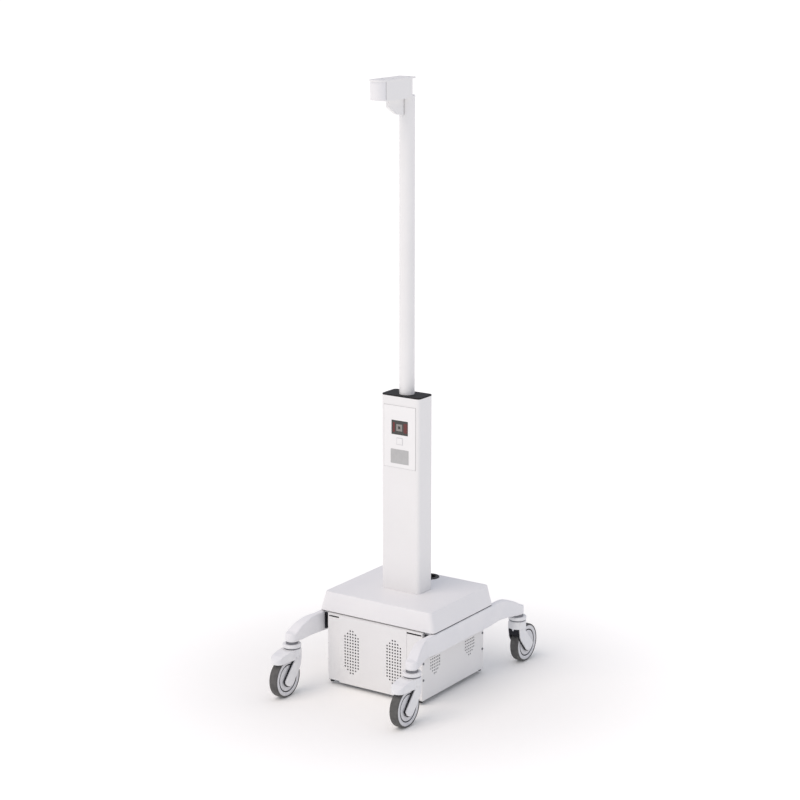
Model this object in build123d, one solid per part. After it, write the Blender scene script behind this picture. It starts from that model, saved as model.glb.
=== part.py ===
from build123d import *
import os

# Mobile stand for an intraoral x-ray unit.
# +Z is up and z = 0 is the floor. The front, with the control panel, faces -Y and +X is the
# operator's right hand when looking at the back of the stand from the front. The mast stands
# on the Z axis.

# ---------------------------------------------------------------- driving dimensions, mm

# casters
wheel_radius = 62.5
wheel_width = 30.0
tyre_thickness = 4.5
wheel_face_inset = 1.0
swivel_x = 226.0
swivel_y = 310.5
trail = 40.0
axle_radius = 5.0
stem_radius = 6.0
running_gap = 0.06
collar_radius = 29.4
crown_radius = 28.5
fork_gap = 0.8
fork_wall = 2.6
fork_cover_gap = 0.1
fork_cover_wall = 4.5
fork_top_z = 149.0
crown_height = 25.0
crown_wall = 2.5
steel_crown_radius = 25.6
steel_crown_z = (128.6, 146.0)
axle_boss_radius = 24.5
collar_bottom_z = 154.0
collar_height = 9.5
moving_gap = 0.4

# legs
leg_inner_x = 199.0
leg_thickness = 19.0
leg_top_z = 236.5
leg_bottom_z = 168.5
boss_radius = 20.3
boss_bottom_z = 170.5
boss_top_z = 199.0
outer_flare_y = 208.0
inner_flare_y = 255.0
level_end_y = 215.0
slope_end_y = 311.0

# chassis and enclosure
plate_thickness = 6.0
box_half_width = 178.9
box_front_y = -181.8
box_rear_y = 176.0
box_bottom_z = 14.0
sheet = 1.5
strip_left_x = -134.0
strip_right_x = 120.0
vent_radius = 2.9
vent_pitch = 10.0
front_vent_x = (-87.0, 73.4)
front_vent_z = 122.0
front_vent_columns = (11, 13, 15, 15, 13, 11)
side_vent_y = (-107.8, 93.5)
side_vent_z = 127.0
side_vent_columns = (5, 7, 9, 9, 7, 5)
bumper_height = 7.0

# moulded cover over the chassis
cover_bottom_z = 240.0
cover_top_z = 302.0
cover_foot = (433.0, 350.7)
cover_crown = (399.4, 343.2)
cover_foot_y = -0.45
cover_crown_y = 1.7
cover_wall = 3.0
grommet_y = 137.0
grommet_flange_radius = 29.0
grommet_sleeve_radius = 25.0
grommet_bore_radius = 18.0

# column
column_width = 143.0
column_depth = 78.6
column_corner = 12.0
column_wall = 3.0
column_top_z = 933.0
cap_thickness = 4.0
foot_thickness = 8.0
foot_width = 200.0
foot_depth = 122.0
foot_bolt_radius = 5.0

# control panel on the column's front
panel_width = 117.0
panel_bottom_z = 706.0
panel_top_z = 904.0
panel_thickness = 1.5
display_width = 61.6
display_height = 46.0
display_z = 834.8
button_size = 20.0
button_z = 791.5
button_proud = 1.0
button_travel = 1.0
keypad_width = 67.0
keypad_height = 46.0
keypad_z = 742.0
keypad_thickness = 0.5

# mast and head
mast_radius = 24.0
mast_wall = 3.0
mast_top_z = 1855.0
socket_height = 60.0
socket_wall = 8.0
head_half_width = 27.0
head_wall = 3.0
head_base_thickness = 6.5
head_height = 51.5
head_rear_y = -9.0
head_top_thickness = 5.0
head_top_overhang = 1.8
head_top_rear_y = 5.0
pivot_y = -150.5
pivot_bore_radius = 15.0
pivot_wall = 7.0
nose_wall = 2.5
nose_seam = 1.2
gusset_thickness = 10.0
gusset_front_y = -106.0
gusset_clearance = 2.0

# named clearances
slide_gap = 0.3
seat_gap = 0.05

# ---------------------------------------------------------------- derived levels

plate_top = leg_top_z
plate_bottom = plate_top - plate_thickness
leg_outer_x = leg_inner_x + leg_thickness
foot_top = plate_top + foot_thickness
column_front_y = -column_depth / 2
cap_top = column_top_z + cap_thickness
head_base_top = mast_top_z + head_base_thickness
head_top_bottom = head_base_top + head_height
head_top = head_top_bottom + head_top_thickness
fork_inner = wheel_width / 2 + fork_gap
fork_outer = fork_inner + fork_wall
cover_inner = fork_outer + fork_cover_gap
cover_outer = cover_inner + fork_cover_wall
crown_bottom = fork_top_z - crown_height
collar_top = collar_bottom_z + collar_height

nodes = {}


def keep(name, shape):
    """Remember a sub-part under its node name."""
    nodes[name] = shape


def upright(radius, low, high, x=0.0, y=0.0):
    """A cylinder along Z between two levels."""
    return Pos(x, y, (low + high) / 2) * Cylinder(radius, high - low)


def across(radius, low, high, y, z):
    """A cylinder along X between two stations."""
    return Pos((low + high) / 2, y, z) * Rot(0, 90, 0) * Cylinder(radius, high - low)


def along(radius, low, high, x, z):
    """A cylinder along Y between two stations."""
    return Pos(x, (low + high) / 2, z) * Rot(90, 0, 0) * Cylinder(radius, high - low)


def block(x, y, z):
    """A box from its low and high values on each axis."""
    size = (x[1] - x[0], y[1] - y[0], z[1] - z[0])
    return Pos((x[0] + x[1]) / 2, (y[0] + y[1]) / 2, (z[0] + z[1]) / 2) * Box(*size)


def rounded_bar(width, depth, corner, low, high, y=0.0):
    """An upright bar of rounded rectangular section."""
    section = RectangleRounded(width, depth, corner)
    return extrude(Pos(0, y, low) * section, high - low)


def group(solids):
    """Separate solids that share one node."""
    return Compound(children=list(solids))


def screw(radius, head_radius, head_height, length):
    """A screw standing on the origin: head below z = 0, shank up to the length."""
    head = Pos(0, 0, -head_height / 2) * Cylinder(head_radius, head_height)
    shank = Pos(0, 0, length / 2) * Cylinder(radius, length)
    recess = Pos(0, 0, -head_height) * Cylinder(head_radius * 0.45, head_height)
    return head + shank - recess


# ---------------------------------------------------------------- legs

leg_bolt_y = (-140.0, -60.0, 60.0, 140.0)
leg_bolt_z = 200.0
leg_bolt_radius = 4.0
leg_bolt_depth = 12.0
stem_depth = 19.0


def leg_plan():
    """Outline seen from above: a slim bar that flares out to a round boss at each end."""
    inner = [(leg_inner_x, inner_flare_y), (swivel_x - boss_radius, swivel_y - boss_radius / 2)]
    inner_end = [(swivel_x - boss_radius, swivel_y)]
    outer = [(swivel_x + boss_radius, swivel_y), (leg_outer_x, outer_flare_y)]
    rear = inner + inner_end + outer
    front = [(x, -y) for x, y in reversed(rear)]
    outline = make_face(Polyline(*(rear + front), close=True))
    bends = [v for v in outline.vertices() if abs(v.Y) < swivel_y - boss_radius]
    outline = fillet(bends, 40)
    for end in (-1, 1):
        outline += Pos(swivel_x, end * swivel_y) * Circle(boss_radius)
    return outline


def leg_profile():
    """Outline seen from the side: level over the chassis, arched down to low bosses."""
    tip = swivel_y + boss_radius
    shoulder = (slope_end_y, boss_top_z + 1.0)
    lower = [(tip, boss_bottom_z), (swivel_y - boss_radius - 2.0, boss_bottom_z)]
    lower += [(245.0, leg_bottom_z + 6.0), (150.0, leg_bottom_z), (0, leg_bottom_z)]
    half = Line((0, leg_top_z), (level_end_y, leg_top_z))
    half += TangentArc((level_end_y, leg_top_z), shoulder, tangent=(1, 0))
    half += Polyline(shoulder, (tip, boss_top_z), *lower)
    half += mirror(half, Plane.YZ)
    outline = make_face(half)
    soft = [v for v in outline.vertices() if 1 < abs(v.X) < 280 and v.Y < boss_top_z - 10]
    return Plane.YZ * fillet(soft, 60)


def leg():
    reach = 2 * swivel_x
    body = extrude(leg_plan(), leg_top_z + 10)
    body &= extrude(leg_profile(), reach)
    for end in (-1, 1):
        top = boss_bottom_z + stem_depth + 0.5
        body -= upright(stem_radius + seat_gap, boss_bottom_z - 1, top, swivel_x, end * swivel_y)
    for y in leg_bolt_y:
        body -= across(leg_bolt_radius + seat_gap, leg_inner_x - 1, leg_inner_x + leg_bolt_depth + 0.5,
                       y, leg_bolt_z)
    return body


right_leg = leg()
keep("right_leg", right_leg)
keep("left_leg", mirror(right_leg, Plane.YZ))

# ---------------------------------------------------------------- chassis plate and brackets

bracket_gap = 0.2
bracket_wall = 6.0
bracket_outer = leg_inner_x - bracket_gap
bracket_inner = bracket_outer - bracket_wall
bracket_low = box_half_width + 1.3
bracket_half_length = 172.0
bracket_bottom_z = 178.0
foot_bolt_x = 86.0
foot_bolt_y = 48.0
cover_post_x = 165.0
cover_post_y = 140.0
cover_post_radius = 8.0
cover_screw_radius = 2.0
plate_hole_radius = grommet_sleeve_radius - 3.0
plate_side_y = 166.0

foot_bolt_places = [(x, y) for x in (-foot_bolt_x, foot_bolt_x) for y in (-foot_bolt_y, foot_bolt_y)]
cover_post_places = [(x, y) for x in (-cover_post_x, cover_post_x) for y in (-cover_post_y, cover_post_y)]


def chassis_plate():
    """Steel plate that ties the legs together and carries the column."""
    plate = block((-bracket_outer, bracket_outer), (-plate_side_y, plate_side_y), (plate_bottom, plate_top))
    tongue = box_half_width - 0.4
    plate += block((-tongue, tongue), (box_front_y + 0.5, box_rear_y - 2.0), (plate_bottom, plate_top))
    holes = [(foot_bolt_radius + seat_gap, foot_bolt_places),
             (cover_screw_radius + slide_gap, cover_post_places),
             (plate_hole_radius, [(0, grommet_y)])]
    for radius, places in holes:
        for x, y in places:
            plate -= upright(radius, plate_bottom - 1, plate_top + 1, x, y)
    return plate


def leg_bracket():
    """Steel angle, welded under the plate, that takes one leg's bolts."""
    run = (-bracket_half_length, bracket_half_length)
    angle = block((bracket_inner, bracket_outer), run, (bracket_bottom_z, plate_bottom))
    angle += block((bracket_low, bracket_outer), run, (plate_bottom - bracket_wall, plate_bottom))
    for y in leg_bolt_y:
        angle -= across(leg_bolt_radius + seat_gap, bracket_inner - 1, bracket_outer + 1, y, leg_bolt_z)
    return angle


keep("chassis_plate", chassis_plate())
right_bracket = leg_bracket()
keep("leg_brackets", group([right_bracket, mirror(right_bracket, Plane.YZ)]))

leg_bolt = screw(leg_bolt_radius, 6.5, 5.0, leg_bolt_depth + bracket_outer + bracket_gap - bracket_inner)
leg_bolts = []
for side in (-1, 1):
    for y in leg_bolt_y:
        leg_bolts.append(Pos(side * bracket_inner, y, leg_bolt_z) * Rot(0, side * 90, 0) * leg_bolt)
keep("leg_bolts", group(leg_bolts))

# ---------------------------------------------------------------- equipment enclosure

strip_top = plate_bottom - 5.0
strip_bottom = box_bottom_z + 2.5
corner_return = 26.0
panel_lap = 1.0
floor_top = box_bottom_z + 2.0
panel_screw_radius = 2.0
panel_screw_z = (82.0, 136.0)
panel_screw_inset = 6.0
panel_screw_y = (box_front_y + panel_screw_inset, box_rear_y - panel_screw_inset)
side_inner = box_half_width - sheet


def vent_holes(columns, pitch, radius):
    """Round holes on a square grid: columns of different heights about one centre."""
    places = []
    for index, count in enumerate(columns):
        across_place = (index - (len(columns) - 1) / 2) * pitch
        for row in range(count):
            places.append((across_place, (row - (count - 1) / 2) * pitch))
    return Sketch() + [Pos(x, z) * Circle(radius) for x, z in places]


def front_panel():
    """Vented sheet that laps over the two corner strips and the plate's front edge."""
    width = strip_right_x - strip_left_x + 2 * panel_lap
    middle = (strip_right_x + strip_left_x) / 2
    low = box_bottom_z - 1.5
    high = plate_top - 1.5
    sheet_face = Pos(middle, (low + high) / 2) * Rectangle(width, high - low)
    for x in front_vent_x:
        sheet_face -= Pos(x, front_vent_z) * vent_holes(front_vent_columns, vent_pitch, vent_radius)
    front = Plane((0, box_front_y, 0), x_dir=(1, 0, 0), z_dir=(0, -1, 0))
    return extrude(front * sheet_face, sheet)


def side_panel():
    """Vented side sheet, screwed to the corner posts."""
    low_y, high_y = box_front_y + 0.5, box_rear_y - 0.5
    face = Pos((low_y + high_y) / 2, (box_bottom_z + plate_bottom) / 2)
    face *= Rectangle(high_y - low_y, plate_bottom - box_bottom_z - 1.0)
    for y in side_vent_y:
        face -= Pos(y, side_vent_z) * vent_holes(side_vent_columns, vent_pitch, vent_radius)
    for y in panel_screw_y:
        for z in panel_screw_z:
            face -= Pos(y, z) * Circle(panel_screw_radius + seat_gap)
    side = Plane((side_inner, 0, 0), x_dir=(0, 1, 0), z_dir=(1, 0, 0))
    return extrude(side * face, sheet)


def corner_post(front, inner_x):
    """Folded upright: a strip on the front or rear face and a return behind the side panel."""
    face_y = box_front_y if front else box_rear_y
    inward = 1 if front else -1
    thick = 2.0
    back_y = face_y + inward * thick
    deep_y = face_y + inward * corner_return
    outer = side_inner - 0.1
    strip_y = tuple(sorted((face_y, back_y)))
    strip = block((inner_x, side_inner), strip_y, (strip_bottom, strip_top))
    fold = block((outer - thick, outer), tuple(sorted((face_y, deep_y))), (floor_top, plate_bottom))
    post = strip + fold
    screw_y = face_y + inward * panel_screw_inset
    for z in panel_screw_z:
        post -= across(panel_screw_radius + seat_gap, outer - 3, outer + 1, screw_y, z)
    return post


keep("front_panel", front_panel())
keep("right_side_panel", side_panel())
keep("left_side_panel", mirror(side_panel(), Plane.YZ))
right_front_post = corner_post(True, strip_right_x)
left_front_post = mirror(corner_post(True, -strip_left_x), Plane.YZ)
rear_strip_x = box_half_width - 45.0
rear_post = corner_post(False, rear_strip_x)
keep("corner_posts", group([right_front_post, left_front_post, rear_post, mirror(rear_post, Plane.YZ)]))

back_half = rear_strip_x - 0.5
keep("back_panel", block((-back_half, back_half), (box_rear_y - 2.0, box_rear_y),
                         (floor_top, plate_bottom - 0.5)))


def enclosure_floor():
    """Bottom sheet of the enclosure, inside the panels."""
    half = side_inner - 0.1
    floor = block((-half, half), (box_front_y + 2.1, box_rear_y - 2.1), (box_bottom_z, floor_top))
    return floor


keep("enclosure_floor", enclosure_floor())


panel_screw = screw(panel_screw_radius, 4.0, 1.6, 6.0)
panel_screws = []
for side in (-1, 1):
    for y in panel_screw_y:
        for z in panel_screw_z:
            place = Pos(side * box_half_width, y, z) * Rot(0, -side * 90, 0)
            panel_screws.append(place * panel_screw)
keep("side_panel_screws", group(panel_screws))

bumper_x = box_half_width - 10.0
bumper_places = [(x, y) for x in (-bumper_x, bumper_x) for y in (box_front_y + 9.0, box_rear_y - 9.0)]
bumpers = []
for x, y in bumper_places:
    bumper = upright(7.0, box_bottom_z - bumper_height, box_bottom_z, x, y)
    bumpers.append(fillet(bumper.edges().group_by(Axis.Z)[0], 2))
keep("corner_bumpers", group(bumpers))

battery = block((-150.0, -10.0), (-120.0, 110.0), (floor_top, floor_top + 150.0))
battery = fillet(battery.edges().filter_by(Axis.Z), 6)
for side in (-1, 1):
    terminal = upright(6.0, floor_top + 150.0, floor_top + 158.0, -80.0 + side * 40.0, -95.0)
    battery += terminal
keep("battery_pack", battery)

inverter = block((15.0, 145.0), (-110.0, 100.0), (floor_top, floor_top + 70.0))
fin_count = 9
for index in range(fin_count):
    fin_y = -90.0 + index * 20.0
    inverter += block((25.0, 135.0), (fin_y, fin_y + 3.0), (floor_top + 70.0, floor_top + 95.0))
keep("power_inverter", inverter)

# ---------------------------------------------------------------- moulded base cover


def cover_solid(grow):
    """Tapered block of the cover's outer shape, pulled in by a wall on every side but the bottom."""
    foot = Pos(0, cover_foot_y, cover_bottom_z)
    foot *= RectangleRounded(cover_foot[0] - 2 * grow, cover_foot[1] - 2 * grow, 14 - grow)
    crown = Pos(0, cover_crown_y, cover_top_z - grow)
    crown *= RectangleRounded(cover_crown[0] - 2 * grow, cover_crown[1] - 2 * grow, 14 - grow)
    return loft([foot, crown])


def base_cover():
    shell = cover_solid(0)
    shell = fillet(shell.edges().group_by(Axis.Z)[-1], 4)
    shell -= cover_solid(cover_wall)
    for x, y in cover_post_places:
        post = upright(cover_post_radius, plate_top, cover_top_z - cover_wall / 2, x, y)
        post -= upright(cover_screw_radius, plate_top - 1, cover_top_z - 2 * cover_wall, x, y)
        shell += post
    opening = 2 * slide_gap
    shell -= rounded_bar(column_width + opening, column_depth + opening, column_corner + slide_gap,
                         cover_bottom_z, cover_top_z + 10)
    shell -= upright(grommet_sleeve_radius + seat_gap, cover_bottom_z, cover_top_z + 5, 0, grommet_y)
    return shell


keep("base_cover", base_cover())
cover_screw = screw(cover_screw_radius, 4.0, 2.5, plate_thickness + 20.0)
keep("cover_screws", group(Pos(x, y, plate_bottom) * cover_screw for x, y in cover_post_places))


def cable_grommet():
    """Rubber ring that lines the cable outlet behind the column."""
    lip = 2.5
    ring = upright(grommet_flange_radius, cover_top_z, cover_top_z + lip, 0, grommet_y)
    ring = fillet(ring.edges().group_by(Axis.Z)[-1], 1.5)
    ring += upright(grommet_sleeve_radius, cover_top_z - cover_wall, cover_top_z, 0, grommet_y)
    ring += upright(grommet_sleeve_radius + 2.0, cover_top_z - cover_wall - lip, cover_top_z - cover_wall,
                    0, grommet_y)
    ring -= upright(grommet_bore_radius, cover_top_z - 20, cover_top_z + 20, 0, grommet_y)
    return ring


keep("cable_grommet", cable_grommet())

# ---------------------------------------------------------------- column

inner_width = column_width - 2 * column_wall
inner_depth = column_depth - 2 * column_wall
inner_corner = column_corner - column_wall
cutout_half = panel_width / 2 - 9.0
cutout_bottom = panel_bottom_z + 8.0
cutout_top = panel_top_z - 8.0
spigot_height = 40.0
socket_top = foot_top + socket_height
socket_radius = mast_radius + seat_gap + socket_wall


def column_foot():
    """Bolted flange with a spigot that locates the column housing and a welded socket for the mast."""
    flange = rounded_bar(foot_width, foot_depth, 10, plate_top, foot_top)
    spigot = rounded_bar(inner_width - slide_gap, inner_depth - slide_gap, inner_corner, foot_top,
                         foot_top + spigot_height)
    wall = 3.0
    spigot -= rounded_bar(inner_width - slide_gap - 2 * wall, inner_depth - slide_gap - 2 * wall,
                          inner_corner - wall, foot_top, foot_top + spigot_height)
    foot = flange + spigot + upright(socket_radius, foot_top, socket_top)
    foot -= upright(mast_radius + seat_gap, foot_top, socket_top + 1)
    for x, y in foot_bolt_places:
        foot -= upright(foot_bolt_radius + seat_gap, plate_top - 1, foot_top + 1, x, y)
    return foot


def column_housing():
    """Rounded rectangular tube with a window for the control panel."""
    tube = rounded_bar(column_width, column_depth, column_corner, foot_top, column_top_z)
    tube -= rounded_bar(inner_width, inner_depth, inner_corner, foot_top, column_top_z)
    window_y = (column_front_y - 1, column_front_y + column_wall + 1)
    tube -= block((-cutout_half, cutout_half), window_y, (cutout_bottom, cutout_top))
    return tube


def column_cap():
    """Plastic lid with a plug inside the column and a hole for the mast."""
    lid = rounded_bar(column_width, column_depth, column_corner, column_top_z, cap_top)
    lid = fillet(lid.edges().group_by(Axis.Z)[-1], 1.5)
    lid += rounded_bar(inner_width - slide_gap, inner_depth - slide_gap, inner_corner,
                       column_top_z - 8, column_top_z)
    return lid - upright(mast_radius + slide_gap, column_top_z - 10, cap_top + 5)


def mast_spacer(low):
    """Plastic block that centres the mast in the column."""
    spacer = rounded_bar(inner_width - 0.4, inner_depth - 0.4, inner_corner, low, low + 16.0)
    slot_half = 17.0
    for side in (-1, 1):
        spacer -= upright(11.0, low - 1, low + 17, side * (mast_radius + 22.0), 0)
    spacer -= block((-slot_half, slot_half), (inner_depth / 2 - 6.0, inner_depth), (low - 1, low + 17))
    return spacer - upright(mast_radius + seat_gap, low - 1, low + 17)


keep("column_foot", column_foot())
foot_bolt = screw(foot_bolt_radius, 8.5, 6.0, foot_thickness + plate_thickness)
keep("column_bolts", group(Pos(x, y, foot_top) * Rot(180, 0, 0) * foot_bolt for x, y in foot_bolt_places))
keep("column_housing", column_housing())
keep("column_cap", column_cap())
spacer_levels = (column_top_z - 28.0, 500.0)
keep("mast_spacers", group(mast_spacer(low) for low in spacer_levels))

# ---------------------------------------------------------------- control panel

panel_back = column_front_y
panel_front = panel_back - panel_thickness
window_gap = 0.2
board_front = column_front_y + 6.4
board_thickness = 1.6
board_width = 92.0
board_low = cutout_bottom + 4.0
board_high = cutout_top - 4.0
flange_size = button_size + 3.0
button_flange = 1.2
switch_height = 1.1


def face_slab(width, height, z, front, back, corner):
    """A rounded slab that faces the front."""
    plane = Plane((0, back, z), x_dir=(1, 0, 0), z_dir=(0, -1, 0))
    return extrude(plane * RectangleRounded(width, height, corner), back - front)


def panel_plate():
    height = panel_top_z - panel_bottom_z
    middle = (panel_top_z + panel_bottom_z) / 2
    plate = face_slab(panel_width, height, middle, panel_front, panel_back, 3)
    plate -= face_slab(display_width, display_height, display_z, panel_front - 1, panel_back + 1, 0.6)
    opening = button_size + 2 * slide_gap
    plate -= face_slab(opening, opening, button_z, panel_front - 1, panel_back + 1, 1.5)
    return plate


def power_button():
    """Push button: a square cap, a flange behind the plate and a stem to the switch."""
    cap = face_slab(button_size, button_size, button_z, panel_front - button_proud, panel_back + 0.2, 1.2)
    cap = fillet(cap.edges().group_by(Axis.Y)[0], 0.6)
    flange = face_slab(flange_size, flange_size, button_z, panel_back + 0.2,
                       panel_back + 0.2 + button_flange, 1.5)
    stem_end = board_front - switch_height - button_travel - 0.2
    stem = face_slab(6.0, 6.0, button_z, panel_back + 0.2 + button_flange, stem_end, 0.5)
    return cap + flange + stem


def controller_board():
    """Circuit board with the screen's tray, the button's switch and the timer's components."""
    middle = (board_low + board_high) / 2
    board = face_slab(board_width, board_high - board_low, middle, board_front,
                      board_front + board_thickness, 1.5)
    board += face_slab(8.0, 8.0, button_z, board_front - switch_height, board_front, 0.5)
    tray_size = (display_width + 12.0, display_height + 8.0)
    board += face_slab(*tray_size, display_z, panel_back + 0.1, board_front, 1.5)
    chip_back = board_front + board_thickness
    for x, z, width, height, depth in ((-22, 770, 20, 20, 2.5), (18, 752, 14, 22, 2.5), (0, 730, 56, 10, 5),
                                       (-26, 850, 16, 30, 5), (24, 850, 12, 12, 3)):
        board += block((x - width / 2, x + width / 2), (chip_back, chip_back + depth),
                       (z - height / 2, z + height / 2))
    return board


keep("control_panel_plate", panel_plate())
keep("display_glass", face_slab(display_width - 2 * window_gap, display_height - 2 * window_gap, display_z,
                                panel_front + 0.3, panel_back + 0.1, 0.5))
keep("power_button", power_button())
keep("membrane_keypad", face_slab(keypad_width, keypad_height, keypad_z,
                                  panel_front - keypad_thickness, panel_front, 1.5))
keep("controller_board", controller_board())

# ---------------------------------------------------------------- mast and head


def mast_tube():
    tube = upright(mast_radius, foot_top, mast_top_z)
    return tube - upright(mast_radius - mast_wall, foot_top - 1, mast_top_z + 1)


plug_radius = mast_radius - mast_wall
plug_length = 32.0
head_screw_radius = 2.5
head_screw_head = 4.0
head_screw_sink = 3.5
head_screw_ring = plug_radius - head_screw_radius - 0.4
head_screw_turns = (45.0, 135.0, 242.0, 298.0)
head_screw_spots = [Vector(head_screw_ring, 0).rotate(Axis.Z, turn) for turn in head_screw_turns]
head_screw_places = [(spot.X, spot.Y) for spot in head_screw_spots]
head_screw_length = 20.0
top_post_radius = 5.0
top_post_x = head_half_width - head_wall - top_post_radius + 0.5
top_post_places = [(x, y) for x in (-top_post_x, top_post_x) for y in (-105.0, -20.0)]
cable_hole_radius = 4.0
cable_hole_y = -16.5
sleeve_radius = pivot_bore_radius + pivot_wall


def mast_plug():
    plug = upright(plug_radius, mast_top_z - plug_length, mast_top_z)
    for x, y in head_screw_places:
        plug -= upright(head_screw_radius, mast_top_z - 18, mast_top_z + 1, x, y)
    return plug - upright(cable_hole_radius, mast_top_z - 2 * plug_length, mast_top_z + 1, 0, cable_hole_y)


def head_base():
    """Steel plate on top of the mast, with the welded sleeve for the arm's pin."""
    plate = block((-mast_radius - 0.5, mast_radius + 0.5), (-60.0, 0.0), (mast_top_z, head_base_top))
    plate += upright(mast_radius + 0.5, mast_top_z, head_base_top)
    plate += block((-head_half_width, head_half_width), (pivot_y, -30.0), (mast_top_z, head_base_top))
    for x, y in head_screw_places:
        plate -= upright(head_screw_radius + seat_gap, mast_top_z - 1, head_base_top + 1, x, y)
        sink_z = head_base_top - head_screw_sink
        plate -= upright(head_screw_head + seat_gap, sink_z, head_base_top + 1, x, y)
    plate += upright(sleeve_radius, head_base_top, head_top_bottom, 0, pivot_y)
    plate -= upright(pivot_bore_radius, head_base_top, head_top_bottom + 1, 0, pivot_y)
    return plate - upright(cable_hole_radius, mast_top_z - 1, head_base_top + 1, 0, cable_hole_y)


def head_channel():
    """Folded channel: two side walls, a back wall and four posts for the top plate's screws."""
    levels = (head_base_top, head_top_bottom)
    walls = block((-head_half_width, head_half_width), (pivot_y, head_rear_y), levels)
    walls = fillet([e for e in walls.edges().filter_by(Axis.Z) if e.center().Y > pivot_y + 1], 3)
    inner = head_half_width - head_wall
    walls -= block((-inner, inner), (pivot_y - 1, head_rear_y - head_wall), levels)
    for x, y in top_post_places:
        walls += upright(top_post_radius, head_base_top, head_top_bottom, x, y)
        walls -= upright(head_screw_radius, head_top_bottom - head_screw_length, head_top_bottom + 1, x, y)
    return walls


def head_top_plate():
    """Flat lid, round at the front about the arm's pivot."""
    half = head_half_width + head_top_overhang
    plate = block((-half, half), (pivot_y, head_top_rear_y), (head_top_bottom, head_top))
    plate = fillet([e for e in plate.edges().filter_by(Axis.Z) if e.center().Y > 0], 4)
    plate += upright(half, head_top_bottom, head_top, 0, pivot_y)
    plate = fillet(plate.edges().group_by(Axis.Z)[-1], 1)
    plate -= upright(pivot_bore_radius, head_top_bottom - 1, head_top + 1, 0, pivot_y)
    for x, y in top_post_places:
        plate -= upright(head_screw_radius + seat_gap, head_top_bottom - 1, head_top + 1, x, y)
        plate -= upright(head_screw_head + seat_gap, head_top - head_screw_sink, head_top + 1, x, y)
    return plate


def head_nose():
    """Half-round front end with a floor, around the pivot sleeve."""
    outer = head_half_width - 0.8
    nose_bottom = mast_top_z + 3.0
    nose = upright(outer, nose_bottom, head_top_bottom, 0, pivot_y)
    nose = fillet(nose.edges().group_by(Axis.Z)[0], 1.2)
    nose -= upright(outer - nose_wall, head_base_top, head_top_bottom + 1, 0, pivot_y)
    levels = (nose_bottom - 1, head_top_bottom)
    front_half = block((-40.0, 40.0), (pivot_y - 60.0, pivot_y - nose_seam), levels)
    return nose & front_half


def gusset():
    """Rib welded under the head, just clear of the mast."""
    outline = [(-mast_radius + 4.0, mast_top_z), (gusset_front_y, mast_top_z),
               (gusset_front_y, mast_top_z - 23.0), (gusset_front_y + 42.0, mast_top_z - 47.0),
               (-mast_radius + 4.0, mast_top_z - 53.0)]
    face = make_face(Polyline(*outline, close=True))
    face = fillet([v for v in face.vertices() if v.Y < mast_top_z - 20 and v.X < -50], 6)
    rib = extrude(Plane.YZ * face, gusset_thickness / 2, both=True)
    return rib - upright(mast_radius + gusset_clearance, mast_top_z - 80, mast_top_z + 1)


keep("mast_tube", mast_tube())
keep("mast_plug", mast_plug())
keep("head_base_plate", head_base())
keep("head_channel", head_channel())
keep("head_top_plate", head_top_plate())
keep("head_nose", head_nose())
keep("head_gusset", gusset())
head_screw = Rot(180, 0, 0) * screw(head_screw_radius, head_screw_head, head_screw_sink, head_screw_length)
head_screws = [Pos(x, y, head_base_top - head_screw_sink) * head_screw for x, y in head_screw_places]
for x, y in top_post_places:
    head_screws.append(Pos(x, y, head_top - head_screw_sink) * head_screw)
keep("head_screws", group(head_screws))

# ---------------------------------------------------------------- casters
# Each caster is drawn about its own swivel axis, with the wheel trailing towards -Y.

rim_radius = wheel_radius - tyre_thickness
hub_radius = 13.0
groove_radius = 43.0
wheel_half = wheel_width / 2
rivet_radius = 8.5
rivet_thickness = 3.0
rivet_gap = 0.3
wheel_room = 3.5
axle_half = 21.0
hub_proud = fork_gap + wheel_face_inset - moving_gap
pedal_pivot_y = -24.0
pedal_pivot_z = 133.0
pedal_lug_radius = 6.0
pedal_pin_radius = 2.5
pedal_half = 26.3
pedal_tip_radius = 21.0
pedal_tip_y = -96.0
pedal_bottom_z = 118.0
crown_clearance = 1.5
hood_gap = 7.0
hood_side_gap = 2.5
arm_flange = 3.0
shoulder_z = 122.0
neck_radius = 9.0


def caster_stem():
    """Threaded stem with a dark neck above the collar, a seal below it and a riveted end."""
    rivet_top = steel_crown_z[0] - rivet_gap
    stem = upright(stem_radius, rivet_top - rivet_thickness, boss_bottom_z + stem_depth)
    stem += upright(boss_radius - 1.3, collar_top, boss_bottom_z - seat_gap)
    stem += upright(collar_radius - 3.0, fork_top_z + moving_gap, collar_bottom_z)
    stem += upright(rivet_radius, rivet_top - rivet_thickness, rivet_top)
    return stem


def caster_collar():
    """White ring over the swivel bearing."""
    ring = upright(collar_radius, collar_bottom_z, collar_top)
    ring = fillet(ring.edges().group_by(Axis.Z)[-1], 2)
    return ring - upright(stem_radius, collar_bottom_z - 1, collar_top + 1)


def arm_outline():
    """Side view of one fork arm: a straight trailing edge, and an axle boss cut off along that edge."""
    root_z = fork_top_z - 3.0
    root = (-14.0, 116.0)
    tip = (-trail - 24.0, 58.6)
    leading = [(21.0, root_z), (20.0, 117.0), (16.0, 94.5), (8.7, 82.0), (-trail + 18.8, 46.8)]
    arm = leading + [(-trail, wheel_radius), tip, root, (-18.0, root_z)]
    face = make_face(Polyline(*arm, close=True))
    bends = [v for v in face.vertices() if 80 < v.Y < 118]
    face = fillet(bends, 6)
    far_y = -2 * wheel_radius
    beyond = make_face(Polyline(root, tip, (far_y, tip[1]), (far_y, root[1]), close=True))
    return face + (Pos(-trail, wheel_radius) * Circle(axle_boss_radius) - beyond)


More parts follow.
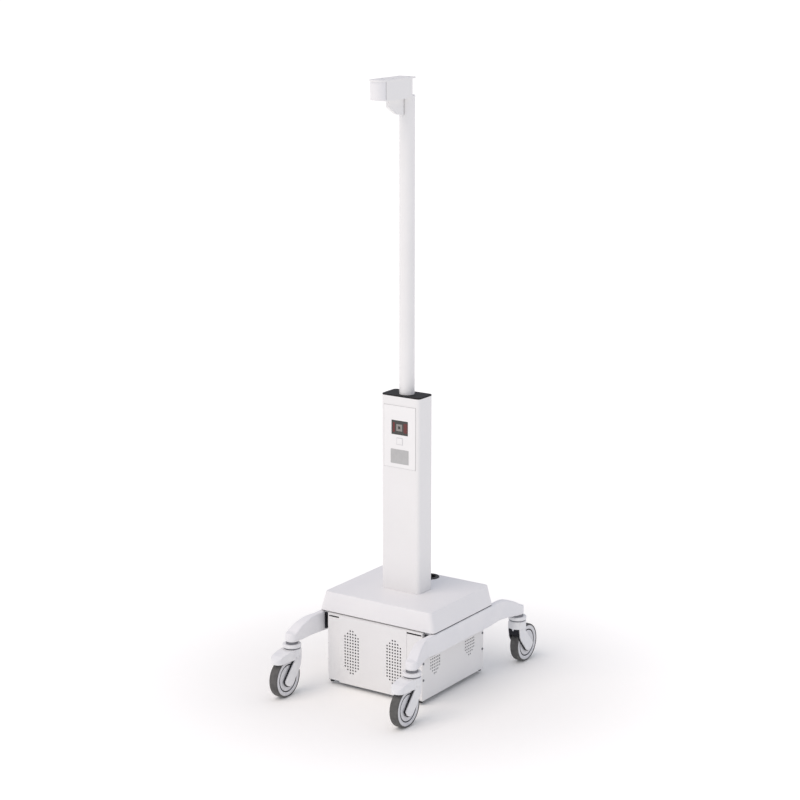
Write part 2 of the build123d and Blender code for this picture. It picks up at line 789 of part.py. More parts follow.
def caster_fork():
    """Pressed steel fork: a crown disc, a web in front of the wheel and two arms with a flange all round."""
    side = offset(arm_outline(), arm_flange)
    arms = extrude(Plane.YZ * side, fork_outer, both=True)
    arms -= block((-fork_inner, fork_inner), (-110.0, 40.0), (0, fork_top_z + 5))
    web = block((-fork_inner - 0.5, fork_inner + 0.5), (11.0, 21.5), (98.0, steel_crown_z[0] + 1))
    for lobe in (-1, 1):
        web -= along(4.0, 0, 30.0, lobe * 8.0, 98.0)
    metal = arms + web
    low = metal & block((-30.0, 30.0), (-110.0, 40.0), (0, shoulder_z))
    high = metal & upright(steel_crown_radius, shoulder_z, steel_crown_z[1])
    fork = low + high + upright(steel_crown_radius, *steel_crown_z)
    fork -= across(wheel_radius + wheel_room, -fork_inner, fork_inner, -trail, wheel_radius)
    fork -= upright(stem_radius + running_gap, shoulder_z - 40, fork_top_z)
    return fork - across(axle_radius, -fork_outer - 1, fork_outer + 1, -trail, wheel_radius)


def fork_cover(braked):
    """White moulded shell over the fork; on the braked casters it carries the pedal's two pivots."""
    shell = upright(crown_radius, crown_bottom, fork_top_z)
    shell = fillet(shell.edges().group_by(Axis.Z)[-1], 1.5)
    side = arm_outline()
    if braked:
        side += Pos(pedal_pivot_y, pedal_pivot_z + 1.0) * Circle(pedal_lug_radius)
    shell += extrude(Plane.YZ * side, cover_outer, both=True)
    cavity = crown_radius - crown_wall
    shell -= upright(cavity, shoulder_z, steel_crown_z[1] + 0.5)
    shell -= block((-cover_inner, cover_inner), (-110.0, 40.0), (0, crown_bottom))
    shell -= across(wheel_radius + wheel_room, -cover_inner, cover_inner, -trail, wheel_radius)
    shell -= upright(neck_radius, shoulder_z, fork_top_z + 1)
    tongue_z = (crown_bottom - 6.0, crown_bottom + 1)
    tongue = upright(crown_radius, *tongue_z) - upright(cavity, *tongue_z)
    shell += tongue & block((-2.5, 2.5), (cavity - 1, crown_radius + 1), tongue_z)
    reach = axle_half + slide_gap
    if braked:
        for end in (-1, 1):
            low, high = sorted((end * (cover_inner - 1), end * (cover_outer + 1)))
            shell -= across(pedal_pin_radius + running_gap, low, high, pedal_pivot_y, pedal_pivot_z)
    return shell - across(axle_radius + slide_gap, -reach, reach, -trail, wheel_radius)


def caster_axle():
    return across(axle_radius, -axle_half, axle_half, -trail, wheel_radius)


def wheel_body():
    """Moulded wheel: a disc with a groove ring on each face and a bored hub."""
    half = wheel_half - wheel_face_inset
    body = across(rim_radius, -half, half, -trail, wheel_radius)
    for side in (-1, 1):
        face = side * half
        low, high = sorted((face, face - side * 2.5))
        band = across(groove_radius + 1.8, low, high, -trail, wheel_radius)
        body -= band - across(groove_radius - 1.8, low, high, -trail, wheel_radius)
        low, high = sorted((face, face + side * hub_proud))
        body += across(hub_radius, low, high, -trail, wheel_radius)
    return body - across(axle_radius + running_gap, -fork_inner, fork_inner, -trail, wheel_radius)


def tyre():
    band = across(wheel_radius, -wheel_half, wheel_half, -trail, wheel_radius)
    band = fillet(band.edges().filter_by(GeomType.CIRCLE), 3.2)
    return band - across(rim_radius, -wheel_half - 1, wheel_half + 1, -trail, wheel_radius)


def brake_pedal():
    """Foot pedal over the wheel: a rounded hood with two cheeks that turn on pins in the fork cover."""
    outline = [(-12.0, pedal_bottom_z), (-12.0, fork_top_z - 0.5), (-45.0, fork_top_z - 0.5), (-76.0, 143.0),
               (pedal_tip_y, 132.0), (pedal_tip_y, pedal_bottom_z + 1.5), (-80.0, pedal_bottom_z)]
    face = make_face(Polyline(*outline, close=True))
    face = fillet([v for v in face.vertices() if v.X < -40 and v.Y > 125], 5)
    hood = extrude(Plane.YZ * face, pedal_half, both=True)
    tip_centre = pedal_tip_y + pedal_tip_radius
    plan = Pos(0, tip_centre) * Circle(pedal_tip_radius)
    sides = [(pedal_tip_radius, tip_centre), (pedal_half, pedal_pivot_y), (pedal_half, 0)]
    plan += make_face(Polyline(*(sides + [(-x, y) for x, y in reversed(sides)]), close=True))
    hood &= extrude(plan, fork_top_z)
    hood -= upright(crown_radius + crown_clearance, 100.0, fork_top_z + 1)
    cheek = cover_outer + slide_gap
    hood -= block((-cheek, cheek), (pedal_pivot_y - 9.0, 10.0), (100.0, fork_top_z - 3.0))
    room = wheel_half + hood_side_gap
    hood -= across(wheel_radius + hood_gap, -room, room, -trail, wheel_radius)
    for end in (-1, 1):
        low, high = sorted((end * (cover_inner + 0.5), end * (cheek + 0.5)))
        hood += across(pedal_pin_radius, low, high, pedal_pivot_y, pedal_pivot_z)
    return hood


corner_names = {"front_left": (-1, -1), "front_right": (1, -1), "rear_left": (-1, 1), "rear_right": (1, 1)}
stems = []
collars = []
for corner, (side, end) in corner_names.items():
    place = Pos(side * swivel_x, end * swivel_y, 0) * Rot(0, 0, 0 if end < 0 else 180)
    stems.append(place * caster_stem())
    collars.append(place * caster_collar())
    braked = end < 0
    keep(corner + "_fork", place * caster_fork())
    keep(corner + "_fork_cover", place * fork_cover(braked))
    keep(corner + "_axle", place * caster_axle())
    keep(corner + "_wheel", place * wheel_body())
    keep(corner + "_tyre", place * tyre())
    if braked:
        keep(corner + "_brake_pedal", place * brake_pedal())
keep("caster_stems", group(stems))
keep("caster_collars", group(collars))

# ---------------------------------------------------------------- files

os.makedirs("parts", exist_ok=True)
for name, shape in nodes.items():
    export_step(shape, "parts/" + name + ".step")
print(len(nodes), "nodes; height", round(head_top, 1))
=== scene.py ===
from math import cos, pi, radians, sin

import bmesh
import bpy
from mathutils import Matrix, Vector


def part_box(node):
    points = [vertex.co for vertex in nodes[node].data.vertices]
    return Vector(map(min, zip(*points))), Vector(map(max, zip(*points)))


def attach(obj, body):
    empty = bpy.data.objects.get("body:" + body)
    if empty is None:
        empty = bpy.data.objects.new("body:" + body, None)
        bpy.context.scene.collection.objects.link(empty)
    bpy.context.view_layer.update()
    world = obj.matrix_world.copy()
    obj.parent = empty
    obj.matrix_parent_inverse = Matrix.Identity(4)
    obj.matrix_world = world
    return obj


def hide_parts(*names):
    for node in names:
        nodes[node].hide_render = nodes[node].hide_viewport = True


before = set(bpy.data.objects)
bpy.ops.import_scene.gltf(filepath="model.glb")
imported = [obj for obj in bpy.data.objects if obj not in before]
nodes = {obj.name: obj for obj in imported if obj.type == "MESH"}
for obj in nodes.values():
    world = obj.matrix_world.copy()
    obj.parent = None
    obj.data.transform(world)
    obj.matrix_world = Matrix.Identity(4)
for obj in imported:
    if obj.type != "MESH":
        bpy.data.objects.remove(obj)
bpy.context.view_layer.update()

# Mobile stand for an intraoral x-ray unit: looks, light and camera.
# Lengths of the object's pieces are millimetres until they reach a mesh, where MM turns them to metres.
# The floor, the lights and the camera are in metres.

MM = 0.001
# The casters' corners, with the side of the stand that each is on: -1 is the front, 1 the back.
CORNERS = {"front_left": -1, "front_right": -1, "rear_left": 1, "rear_right": 1}


# ---------------------------------------------------------------- material tools


def linear(code):
    """A colour written as sRGB hex, turned to linear red, green, blue and alpha."""
    parts = [int(code[i:i + 2], 16) / 255 for i in (1, 3, 5)]
    return [p / 12.92 if p <= 0.04045 else ((p + 0.055) / 1.055) ** 2.4 for p in parts] + [1.0]


def add(tree, kind, settings=None, links=None):
    """Add one node, set its properties and inputs, and link inputs from other nodes' outputs."""
    node = tree.nodes.new(kind)
    for key, value in (settings or {}).items():
        if isinstance(key, str) and hasattr(node, key):
            setattr(node, key, value)
        else:
            node.inputs[key].default_value = value
    for key, (source, output) in (links or {}).items():
        tree.links.new(source.outputs[output], node.inputs[key])
    return node


def new_material(name):
    """A material with an empty tree but for the shader and the output."""
    material = bpy.data.materials.new(name)
    material.use_nodes = True
    tree = material.node_tree
    tree.nodes.clear()
    shader = add(tree, "ShaderNodeBsdfPrincipled")
    out = add(tree, "ShaderNodeOutputMaterial")
    tree.links.new(shader.outputs["BSDF"], out.inputs["Surface"])
    return material, tree, shader


def surface(name, light, dark, rough, rough_spread=0.06, grain=1.5, depth=0.05, patch=60.0,
            stretch=(1, 1, 1), metallic=0.0, ior=1.5, coat=0.0):
    """A solid finish: a colour that drifts over a patch size, roughness that varies with the grain
    and a bump of that grain. Grain, depth and patch are millimetres."""
    material, tree, shader = new_material(name)
    shader.inputs["Metallic"].default_value = metallic
    if metallic == 0.0:
        shader.inputs["IOR"].default_value = ior
    shader.inputs["Coat Weight"].default_value = coat
    shader.inputs["Coat Roughness"].default_value = 0.12
    place = add(tree, "ShaderNodeTexCoord")
    spread = add(tree, "ShaderNodeMapping", {"Scale": stretch}, {"Vector": (place, "Object")})
    drift = add(tree, "ShaderNodeTexNoise", {"Scale": 1 / (patch * MM), "Detail": 3.0},
                {"Vector": (place, "Object")})
    tint = add(tree, "ShaderNodeValToRGB", None, {"Fac": (drift, "Fac")})
    tint.color_ramp.elements[0].position = 0.3
    tint.color_ramp.elements[0].color = linear(dark)
    tint.color_ramp.elements[1].position = 0.7
    tint.color_ramp.elements[1].color = linear(light)
    tree.links.new(tint.outputs["Color"], shader.inputs["Base Color"])
    texture = add(tree, "ShaderNodeTexNoise", {"Scale": 1 / (grain * MM), "Detail": 4.0},
                  {"Vector": (spread, "Vector")})
    gloss = add(tree, "ShaderNodeMapRange",
                {"To Min": rough - rough_spread, "To Max": rough + rough_spread},
                {"Value": (texture, "Fac")})
    tree.links.new(gloss.outputs["Result"], shader.inputs["Roughness"])
    bump = add(tree, "ShaderNodeBump", {"Strength": 0.6, "Distance": depth * MM},
               {"Height": (texture, "Fac")})
    tree.links.new(bump.outputs["Normal"], shader.inputs["Normal"])
    return material


# Powder-coated sheet steel and tube: satin white, a soft orange peel a few millimetres across.
powder_coat = surface("powder_coat_white", "#EFEEED", "#EBEAE9", 0.42, 0.04, grain=2.6, depth=0.04,
                      patch=180)
# Powder-coated aluminium casting: the same white over a slightly rougher skin.
cast_coat = surface("powder_coat_casting", "#EFEEEF", "#E9E9EB", 0.46, 0.06, grain=1.8, depth=0.07,
                    patch=90)
# Vacuum-formed ABS: satin cool white with a fine leather grain that breaks up its highlight.
formed_abs = surface("formed_abs_white", "#EFEEEE", "#EBEAEB", 0.38, 0.05, grain=0.9, depth=0.035,
                     patch=140, ior=1.54)
# Glass-filled nylon: white, a touch warm, with faint flow marks.
nylon = surface("moulded_nylon_white", "#EFEFEF", "#E8E8EA", 0.44, 0.06, grain=0.8, depth=0.03, patch=30,
                ior=1.53)
# Polypropylene wheel centre: cooler and greyer than the fork beside it.
polypropylene = surface("polypropylene_pale_grey", "#DEDEE0", "#D6D6D9", 0.40, 0.05, grain=1.0, depth=0.03,
                        patch=25, ior=1.49)
# The wheel's deep ring groove: the same polypropylene coloured dark, painted shade that shows the groove as
# a line.
groove_painted_shade = surface("polypropylene_groove_painted_shade", "#3C3C3F", "#343437", 0.6, 0.05, grain=1.0, depth=0.03,
                      patch=20, ior=1.49)
# Thermoplastic rubber tread: warm dark grey, dry, scuffed lighter in patches.
tyre_rubber = surface("rubber_tyre_grey", "#5E5D5B", "#4C4B4A", 0.62, 0.08, grain=1.4, depth=0.09, patch=18,
                      ior=1.52)
# Textured black ABS of the column's lid and the mast's spacers: deep black and dull. Its index starts
# from the plastic's 1.54 and is lowered to match the lid, which hardly reflects the sky above it.
black_abs = surface("abs_black", "#0C0C0E", "#08080A", 0.58, 0.06, grain=0.9, depth=0.05, patch=40,
                    ior=1.38)
# Black rubber of the grommet and the bumpers: a dull sheen. The same black, as painted shade, fills the
# strips under the cover's edge and in the head's seams.
black_rubber = surface("rubber_black_and_painted_shade", "#161617", "#101011", 0.55, 0.08, grain=1.1, depth=0.06, patch=20,
                       ior=1.52)
# Zinc-plated steel: bright grey with a slight drawn grain.
zinc = surface("zinc_plated_steel", "#BDBFC4", "#A9ABB0", 0.32, 0.08, grain=1.2, depth=0.02, patch=15,
               metallic=1.0, stretch=(1, 1, 0.2))
# Black-oxide steel of the forks and the leg brackets: near black with a soft sheen.
black_oxide = surface("black_oxide_steel", "#34343A", "#26262B", 0.36, 0.08, grain=1.0, depth=0.02,
                      patch=12, metallic=0.7)
# Zinc-nickel plating of the caster stems and the panel screws: a mid grey metal with a soft sheen.
stem_steel = surface("zinc_nickel_steel", "#8C8D92", "#797A7F", 0.34, 0.08, grain=1.0, depth=0.02, patch=12,
                     metallic=0.9)
# Die-cast aluminium of the inverter's case.
die_cast = surface("die_cast_aluminium", "#B9BBC0", "#A7A9AF", 0.45, 0.08, grain=1.6, depth=0.06, patch=35,
                   metallic=1.0)
# Printed polyester overlay: flat white, a very even satin.
overlay = surface("polyester_overlay_white", "#F2F1F0", "#EFEEED", 0.36, 0.03, grain=0.5, depth=0.01,
                  patch=60, ior=1.57)
# The keypad's grey printed film; the same grey rims the panel plate as painted shade of its edge.
keypad_film_and_edge_shade = surface("polyester_film_grey_and_edge_shade", "#BBBBBA", "#B5B5B4", 0.42, 0.04, grain=0.5, depth=0.015,
                      patch=20, ior=1.57)
# The line printed round the push button.
button_line = surface("polyester_film_line", "#CBCBCC", "#C3C3C5", 0.45, 0.03, grain=0.5, depth=0.01,
                      patch=20, ior=1.57)
# Cover glass over a dark screen: near black, slightly olive, with a sharp reflection.
screen_glass = surface("screen_glass", "#23241D", "#1C1D18", 0.09, 0.02, grain=4.0, depth=0.002, patch=30,
                       ior=1.52, coat=0.6)
# Solder mask of the circuit board: deep green varnish.
solder_mask = surface("solder_mask_green", "#11512A", "#0C4021", 0.28, 0.05, grain=0.7, depth=0.02,
                      patch=12, ior=1.55, coat=0.3)
# Battery case: charcoal polypropylene.
battery_case = surface("polypropylene_charcoal", "#2B2B2E", "#222225", 0.5, 0.06, grain=1.2, depth=0.05,
                       patch=40, ior=1.49)
# Studio floor: plain, pale and matte.
floor_paint = surface("floor_matte_white", "#FBFAF7", "#FAF9F6", 0.9, 0.02, grain=30, depth=0.0, patch=2000)
floor_shader = floor_paint.node_tree.nodes["Principled BSDF"]
floor_shader.inputs["Emission Color"].default_value = linear("#FFFFFF")
floor_shader.inputs["Specular IOR Level"].default_value = 0.0
# Painted light and shade: the floor glows faintly near the object and more away from it, so the floor round
# the object is darkened as painted shade.
floor_place = add(floor_paint.node_tree, "ShaderNodeTexCoord")
floor_radius = add(floor_paint.node_tree, "ShaderNodeVectorMath", {"operation": "LENGTH"},
                   {0: (floor_place, "Object")})
floor_glow = add(floor_paint.node_tree, "ShaderNodeMapRange",
                 {"From Min": 0.2, "From Max": 1.2, "To Min": 0.03, "To Max": 0.27,
                  "interpolation_type": "SMOOTHSTEP"}, {"Value": (floor_radius, "Value")})
floor_paint.node_tree.links.new(floor_glow.outputs["Result"], floor_shader.inputs["Emission Strength"])


def lit(name, code, strength):
    """A lit part of the screen, with fine bright and dim rows across it."""
    material, tree, shader = new_material(name)
    place = add(tree, "ShaderNodeTexCoord")
    rows = add(tree, "ShaderNodeTexWave", {"Scale": 1 / (2.4 * MM), "wave_type": "BANDS",
                                           "bands_direction": "Z"}, {"Vector": (place, "Object")})
    tint = add(tree, "ShaderNodeValToRGB", None, {"Fac": (rows, "Fac")})
    tint.color_ramp.elements[0].color = [c * 0.8 for c in linear(code)[:3]] + [1.0]
    tint.color_ramp.elements[1].color = linear(code)
    tree.links.new(tint.outputs["Color"], shader.inputs["Base Color"])
    tree.links.new(tint.outputs["Color"], shader.inputs["Emission Color"])
    shader.inputs["Emission Strength"].default_value = strength
    shader.inputs["Roughness"].default_value = 0.2
    return material


# Screen segments: brick red bars and a grey symbol.
screen_red = lit("screen_segment_red", "#6C2826", 0.12)
screen_grey = lit("screen_segment_grey", "#8F8C88", 0.12)


# ---------------------------------------------------------------- mesh tools


def piece(name, mesh_data, body, slot, materials, *replaced):
    """Finish a mesh as a piece: smooth shading by angle, its body and what it stands for. The slot is not
    used.
    """
    mesh = bpy.data.meshes.new(name)
    mesh_data.to_mesh(mesh)
    mesh_data.free()
    thing = bpy.data.objects.new(name, mesh)
    bpy.context.scene.collection.objects.link(thing)
    for material in materials:
        mesh.materials.append(material)
    mesh.shade_smooth()
    mesh.set_sharp_from_angle(angle=radians(38))
    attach(thing, body)
    if replaced:
        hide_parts(*replaced)
    return thing


def paint(material, *names):
    """Give CAD nodes their material."""
    for name in names:
        slots = nodes[name].data.materials
        slots.clear()
        slots.append(material)


def softened(name, node, voxel, passes, body, slot, material):
    """A moulded or cast copy of a CAD node: one skin, with its edges and inside corners rounded."""
    source = bmesh.new()
    source.from_mesh(nodes[node].data)
    bmesh.ops.remove_doubles(source, verts=source.verts, dist=0.01 * MM)
    mesh = bpy.data.meshes.new(name)
    source.to_mesh(mesh)
    source.free()
    rough = bpy.data.objects.new(name + "_rough", mesh)
    bpy.context.scene.collection.objects.link(rough)
    remesh = rough.modifiers.new("skin", "REMESH")
    remesh.mode = "VOXEL"
    remesh.voxel_size = voxel * MM
    smooth = rough.modifiers.new("round", "SMOOTH")
    smooth.factor = 0.5
    smooth.iterations = passes
    thin = rough.modifiers.new("thin", "DECIMATE")
    thin.ratio = 0.35
    skin = rough.evaluated_get(bpy.context.evaluated_depsgraph_get())
    skinned = bpy.data.meshes.new_from_object(skin)
    data = bmesh.new()
    data.from_mesh(skinned)
    bpy.data.objects.remove(rough)
    bpy.data.meshes.remove(mesh)
    bpy.data.meshes.remove(skinned)
    bmesh.ops.recalc_face_normals(data, faces=data.faces)
    return piece(name, data, body, slot, [material], node)


def spun(profile, axis, centre, steps=96, closed=True):
    """A turned shape. Profile points are (distance along the axis, radius) about the centre."""
    data = bmesh.new()
    along_axis = Vector(axis)
    across_axis = along_axis.orthogonal().normalized()
    middle = Vector(centre) * MM
    ring = [data.verts.new(middle + (along_axis * a + across_axis * r) * MM) for a, r in profile]
    pairs = list(zip(ring, ring[1:])) + ([(ring[-1], ring[0])] if closed else [])
    edges = [data.edges.new(pair) for pair in pairs]
    bmesh.ops.spin(data, geom=ring + edges, cent=middle, axis=along_axis, angle=2 * pi, steps=steps,
                   use_merge=True)
    bmesh.ops.remove_doubles(data, verts=data.verts, dist=0.002 * MM)
    bmesh.ops.recalc_face_normals(data, faces=data.faces)
    return data


def slab(centre, size, corner=0.0, soft=0.0):
    """A plate facing the front: its four corners, seen from there, rounded and its front edge softened."""
    data = bmesh.new()
    bmesh.ops.create_cube(data, size=1.0)
    bmesh.ops.scale(data, vec=Vector(size) * MM, verts=data.verts)
    bmesh.ops.translate(data, vec=Vector(centre) * MM, verts=data.verts)
    if corner:
        edges = [e for e in data.edges if abs((e.verts[0].co - e.verts[1].co).normalized().y) > 0.99]
        bmesh.ops.bevel(data, geom=edges, offset=corner * MM, segments=4, profile=0.5, affect="EDGES",
                        material=-1)
    if soft:
        front = min(v.co.y for v in data.verts)
        edges = [e for e in data.edges if all(abs(v.co.y - front) < 1e-6 for v in e.verts)]
        bmesh.ops.bevel(data, geom=edges, offset=soft * MM, segments=3, profile=0.5, affect="EDGES",
                        material=-1)
    return data


def merge(meshes):
    """Several bmeshes as one."""
    whole = bmesh.new()
    for part in meshes:
        held = bpy.data.meshes.new("held")
        part.to_mesh(held)
        part.free()
        whole.from_mesh(held)
        bpy.data.meshes.remove(held)
    return whole


# ---------------------------------------------------------------- legs

for side_name in ("left", "right"):
    softened(side_name + "_leg_casting", side_name + "_leg", 1.6, 34, "stand", "painted_white", cast_coat)

# Black strips between the legs and the cover's lower edge: painted shade of the gap under the cover.
cover_low, cover_high = (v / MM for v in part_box("base_cover"))
leg_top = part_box("right_leg")[1].z / MM
SHADE_STRIP_WIDTH = 8.0
SHADE_STRIP_LENGTH = 330.0
SHADE_STRIP_INSET = 2.2
SHADE_STRIP_SQUEEZE = 1.5


def cover_shade_strip(side):
    """One strip, set just inside the cover's edge and a little thicker than the gap."""
    centre = (side * (cover_high.x - SHADE_STRIP_INSET - SHADE_STRIP_WIDTH / 2), 0, (leg_top + cover_low.z) / 2)
    return slab(centre, (SHADE_STRIP_WIDTH, SHADE_STRIP_LENGTH, cover_low.z - leg_top + SHADE_STRIP_SQUEEZE))


piece("cover_shade_strips", merge(cover_shade_strip(side) for side in (-1, 1)), "stand", "black_rubber", [black_rubber])

# ---------------------------------------------------------------- casters

TYRE_RADIUS = 62.5
TREAD_WIDTH = 30.0
RIM_RADIUS = 58.0
# From the wheel's middle to each of its faces.
FACE = 14.0
# The inner and outer radius of the ring groove in each face.
GROOVE = (41.3, 44.9)
GROOVE_DEPTH = 5.0


def wheel_profile():
    """Half of the wheel centre's section, from the hub out to the tyre, on one face."""
    hub_bore, hub, hub_proud = 5.1, 12.5, 1.4
    return [(FACE + hub_proud, hub_bore), (FACE + hub_proud, hub - 0.6), (FACE + hub_proud - 0.6, hub),
            (FACE - 0.6, hub + 0.8), (FACE - 1.4, hub + 4.0), (FACE - 0.8, GROOVE[0] - 3.0),
            (FACE - 0.9, GROOVE[0] - 0.5), (FACE - 1.4, GROOVE[0]), (FACE - GROOVE_DEPTH, GROOVE[0] + 0.4),
            (FACE - GROOVE_DEPTH, GROOVE[1] - 0.4), (FACE - 1.0, GROOVE[1]), (FACE - 0.4, GROOVE[1] + 0.6),
            (FACE, GROOVE[1] + 3.0), (FACE, RIM_RADIUS - 3.0), (FACE - 0.5, RIM_RADIUS - 1.0),
            (FACE - 1.5, RIM_RADIUS - 0.05)]


def tyre_profile():
    """The tyre's closed section: a slightly crowned tread with round shoulders."""
    half, outer, shoulder = TREAD_WIDTH / 2, TYRE_RADIUS, 4.5
    crown = 0.25
    steps = 6
    right = []
    for i in range(steps + 1):
        turn = pi / 2 * i / steps
        out, up = shoulder * cos(turn), shoulder * sin(turn)
        right.append((half - shoulder + out, outer - crown - shoulder + up))
    top = [(half * k, outer - crown * abs(k) * 1.6) for k in (0.45, 0.0, -0.45)]
    left = [(-a, r) for a, r in reversed(right)]
    inner = [(-half + 0.2, RIM_RADIUS + 0.6), (-half + 1.4, RIM_RADIUS), (half - 1.4, RIM_RADIUS),
             (half - 0.2, RIM_RADIUS + 0.6)]
    return right + top + left + inner


def make_caster(corner, y_sign):
    """Everything that shows on one caster, built where the CAD wheel stands."""
    low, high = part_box(corner + "_tyre")
    hub = (low + high) / 2 / MM
    half_section = wheel_profile()
    section = half_section + [(-a, r) for a, r in reversed(half_section)]
    wheel = spun(section, (1, 0, 0), hub, steps=128)
    # Faces inside the ring groove take the dark groove colour: painted shade.
    for face in wheel.faces:
        centre = face.calc_center_median()
        radius = Vector((0, centre.y - hub.y * MM, centre.z - hub.z * MM)).length / MM
        if GROOVE[0] <= radius <= GROOVE[1] and abs(centre.x / MM - hub.x) < FACE - 1.1:
            face.material_index = 1
    piece(corner + "_wheel_centre", wheel, corner + "_roller", "wheel_grey", [polypropylene, groove_painted_shade],
          corner + "_wheel")
    piece(corner + "_tread", spun(tyre_profile(), (1, 0, 0), hub, steps=128), corner + "_roller",
          "tyre_grey", [tyre_rubber], corner + "_tyre")
    softened(corner + "_fork_moulding", corner + "_fork_cover", 0.8, 4, corner + "_swivel", "white_plastic",
             nylon)
    if y_sign < 0:
        softened(corner + "_pedal_moulding", corner + "_brake_pedal", 0.8, 6, corner + "_pedal",
                 "white_plastic", nylon)


for corner_name, y_end in CORNERS.items():
    make_caster(corner_name, y_end)

# ---------------------------------------------------------------- control panel

panel_low, panel_high = (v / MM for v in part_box("control_panel_plate"))
glass_low, glass_high = (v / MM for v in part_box("display_glass"))
keypad_low, keypad_high = (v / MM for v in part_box("membrane_keypad"))
button_low, button_high = (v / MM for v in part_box("power_button"))
panel_front = panel_low.y
glass_front = glass_low.y
screen_middle = (glass_low.z + glass_high.z) / 2
button_middle = (button_low.z + button_high.z) / 2
FILM = 0.12


def segment(x, z, width, height):
    """One lit segment, a film just proud of the glass."""
    return slab((x, glass_front - FILM / 2, z), (width, FILM, height), corner=0.4)


# Each upright bar's place across the screen, and its width.
BARS = [(-22.2, 7.0), (16.4, 4.0), (22.2, 5.2), (27.4, 2.6)]
BAR_HEIGHT = 31.0
piece("screen_bars", merge(segment(x, screen_middle, width, BAR_HEIGHT) for x, width in BARS), "stand",
      "screen", [screen_red])


def symbol():
    """A square symbol with an open centre."""
    outer, inner, x = 22.0, 9.0, -2.0
    rim = (outer - inner) / 2
    parts = []
    for side in (-1, 1):
        parts.append(segment(x + side * (inner + rim) / 2, screen_middle, rim, outer))
        parts.append(segment(x, screen_middle + side * (inner + rim) / 2, inner, rim))
    return merge(parts)


piece("screen_symbol", symbol(), "stand", "screen", [screen_grey])


def button_outline():
    """The thin square line round the push button."""
    outer, rim, thick = 22.6, 0.9, 0.3
    middle, offset = panel_front - thick / 2, (outer - rim) / 2
    parts = []
    for side in (-1, 1):
        parts.append(slab((side * offset, middle, button_middle), (rim, thick, outer)))
        parts.append(slab((0, middle, button_middle + side * offset), (outer - 2 * rim, thick, rim)))
    return merge(parts)


piece("button_outline", button_outline(), "stand", "keypad_grey", [button_line])


def panel_edge_shade():
    """A thin grey rim behind the panel plate, painted shade along the plate's edges."""
    rim, thick = 0.7, 1.0
    front = panel_high.y - thick
    middle = (panel_low.z + panel_high.z) / 2
    width, height = panel_high.x - panel_low.x, panel_high.z - panel_low.z
    parts = []
    for side in (-1, 1):
        upright_edge = (side * (width + rim) / 2, front + thick / 2, middle)
        level_edge = (0, front + thick / 2, middle + side * (height + rim) / 2)
        parts.append(slab(upright_edge, (rim, thick, height + 2 * rim)))
        parts.append(slab(level_edge, (width, thick, rim)))
    return merge(parts)


piece("panel_edge_shade", panel_edge_shade(), "stand", "keypad_grey", [keypad_film_and_edge_shade])


def key_domes():
    """Low embossed domes in the keypad film, three across and two down."""
    width = keypad_high.x - keypad_low.x
    height = keypad_high.z - keypad_low.z
    proud = 0.24
    pitch_across, pitch_up = width * 0.31, height * 0.46
    dome = (width * 0.27, proud, height * 0.38)
    parts = []
    for column in (-1, 0, 1):
        for row in (-0.5, 0.5):
            level = (keypad_low.z + keypad_high.z) / 2 + row * pitch_up
            centre = (column * pitch_across, keypad_low.y - proud / 2, level)
            parts.append(slab(centre, dome, corner=2.5, soft=0.2))
    return merge(parts)


piece("keypad_domes", key_domes(), "stand", "keypad_grey", [keypad_film_and_edge_shade])

# ---------------------------------------------------------------- head

plate_low, plate_high = (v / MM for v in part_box("head_top_plate"))
plate_half = (plate_high.x - plate_low.x) / 2
# The plate's front end is a half circle, and the pivot is at its centre.
pivot = (0, plate_low.y + plate_half, plate_high.z)
BLANK_RADIUS = 18.0
BLANK_HEIGHT = 0.8
BLANK_EDGE = 0.5
LIFT = 0.02
disc_profile = [(LIFT, 0.0), (LIFT, BLANK_RADIUS), (BLANK_EDGE, BLANK_RADIUS),
                (BLANK_HEIGHT, BLANK_RADIUS - 0.4), (BLANK_HEIGHT, 0.0)]
piece("pivot_blanking_disc", spun(disc_profile, (0, 0, 1), pivot, steps=64, closed=False), "stand",
      "white_plastic", [nylon])

# Dark strips as painted shade in the seam between the nose and the channel, and in the gap between the
# gusset and the mast.
nose_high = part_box("head_nose")[1] / MM
channel_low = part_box("head_channel")[0] / MM
gusset_low, gusset_high = (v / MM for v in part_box("head_gusset"))
mast_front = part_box("mast_tube")[0].y / MM


def seam_shade_strips():
    """Two strips beside the nose, set in from its sides, and one behind the gusset."""
    nose_strip = (1.0, channel_low.y - nose_high.y - 0.1, nose_high.z - channel_low.z - 0.4)
    nose_inset = 0.7
    parts = []
    for side in (-1, 1):
        seam = (side * (nose_high.x - nose_inset), (nose_high.y + channel_low.y) / 2,
                (nose_high.z + channel_low.z) / 2)
        parts.append(slab(seam, nose_strip))
    gap = (0, (mast_front + gusset_high.y) / 2, (gusset_low.z + gusset_high.z) / 2)
    gusset_strip = (gusset_high.x - gusset_low.x - 0.4, mast_front - gusset_high.y,
                    gusset_high.z - gusset_low.z - 1.0)
    parts.append(slab(gap, gusset_strip))
    return merge(parts)


piece("head_seam_shade_strips", seam_shade_strips(), "stand", "black_rubber", [black_rubber])

# ---------------------------------------------------------------- materials of the CAD nodes

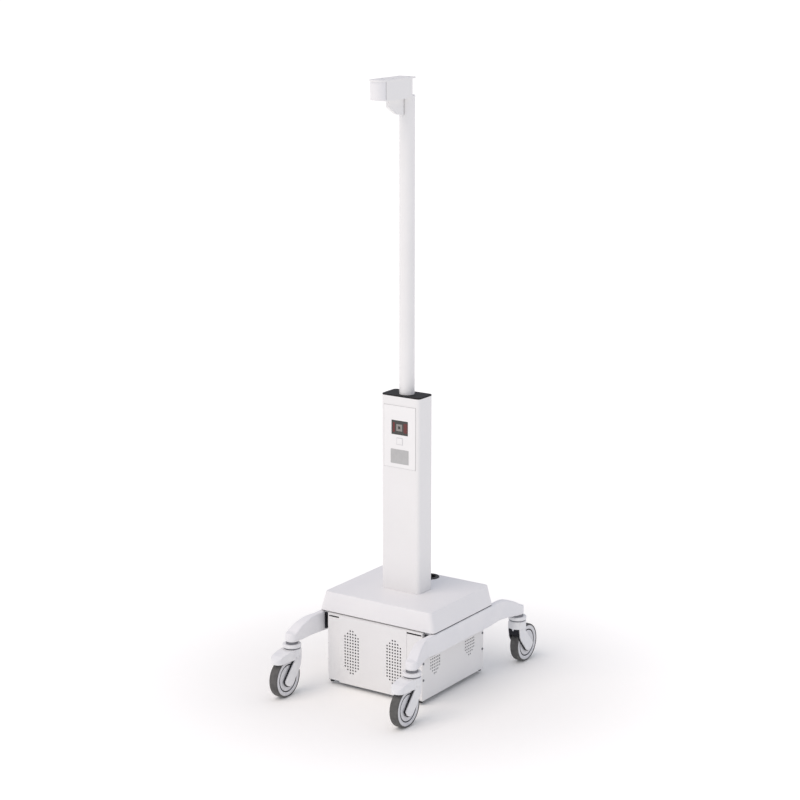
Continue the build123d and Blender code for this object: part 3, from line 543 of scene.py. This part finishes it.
paint(powder_coat, "front_panel", "left_side_panel", "right_side_panel", "back_panel", "corner_posts",
      "column_housing", "mast_tube", "head_base_plate", "head_channel", "head_top_plate", "head_gusset",
      "chassis_plate")
paint(formed_abs, "base_cover", "head_nose")
paint(nylon, "caster_collars")
paint(black_abs, "column_cap", "mast_spacers")
paint(black_rubber, "cable_grommet", "corner_bumpers")
paint(zinc, "leg_bolts", "cover_screws", "enclosure_floor", "column_foot", "column_bolts", "mast_plug",
      "head_screws")
paint(black_oxide, "leg_brackets")
paint(stem_steel, "caster_stems", "side_panel_screws")
paint(battery_case, "battery_pack")
paint(die_cast, "power_inverter")
paint(overlay, "control_panel_plate", "power_button")
paint(keypad_film_and_edge_shade, "membrane_keypad")
paint(screen_glass, "display_glass")
paint(solder_mask, "controller_board")
for corner_name, y_end in CORNERS.items():
    paint(zinc, corner_name + "_axle")
    paint(polypropylene, corner_name + "_wheel")
    paint(tyre_rubber, corner_name + "_tyre")
    paint(black_oxide, corner_name + "_fork")
    paint(nylon, corner_name + "_fork_cover")
    if y_end < 0:
        paint(nylon, corner_name + "_brake_pedal")
paint(cast_coat, "left_leg", "right_leg")

# ---------------------------------------------------------------- floor, light and camera

FLOOR_HALF = 70.0
floor_data = bmesh.new()
bmesh.ops.create_grid(floor_data, x_segments=1, y_segments=1, size=FLOOR_HALF)
floor_mesh = bpy.data.meshes.new("studio_floor")
floor_data.to_mesh(floor_mesh)
floor_data.free()
floor_mesh.materials.append(floor_paint)
floor = bpy.data.objects.new("studio_floor", floor_mesh)
bpy.context.scene.collection.objects.link(floor)


def distant_softbox(name, azimuth, elevation, spread, strength, tint):
    """A distant light as wide as a softbox: azimuth 0 shines on the front, 90 on the right side."""
    light = bpy.data.lights.new(name, "SUN")
    light.angle = radians(spread)
    light.energy = strength
    light.color = linear(tint)[:3]
    lamp = bpy.data.objects.new(name, light)
    around, up = radians(azimuth), radians(elevation)
    back = Vector((sin(around) * cos(up), -cos(around) * cos(up), sin(up)))
    lamp.rotation_euler = (-back).to_track_quat("-Z", "Y").to_euler()
    bpy.context.scene.collection.objects.link(lamp)


distant_softbox("key", -18, 52, 45, 1.12, "#FFF2E7")

world = bpy.data.worlds.new("studio")
world.use_nodes = True
sky = world.node_tree.nodes["Background"]
sky.inputs["Color"].default_value = linear("#F1F4FF")
sky.inputs["Strength"].default_value = 0.66
bpy.context.scene.world = world
bpy.context.scene.view_settings.view_transform = "Standard"

camera_data = bpy.data.cameras.new("camera")
camera_data.sensor_width = 36.0
camera_data.lens = 96.73
camera_data.clip_end = 300.0
camera = bpy.data.objects.new("camera", camera_data)
camera.location = (3.6187, -5.4220, 2.4606)
camera.rotation_euler = (radians(90 - 13.33), 0, radians(33.91))
bpy.context.scene.collection.objects.link(camera)
bpy.context.scene.camera = camera
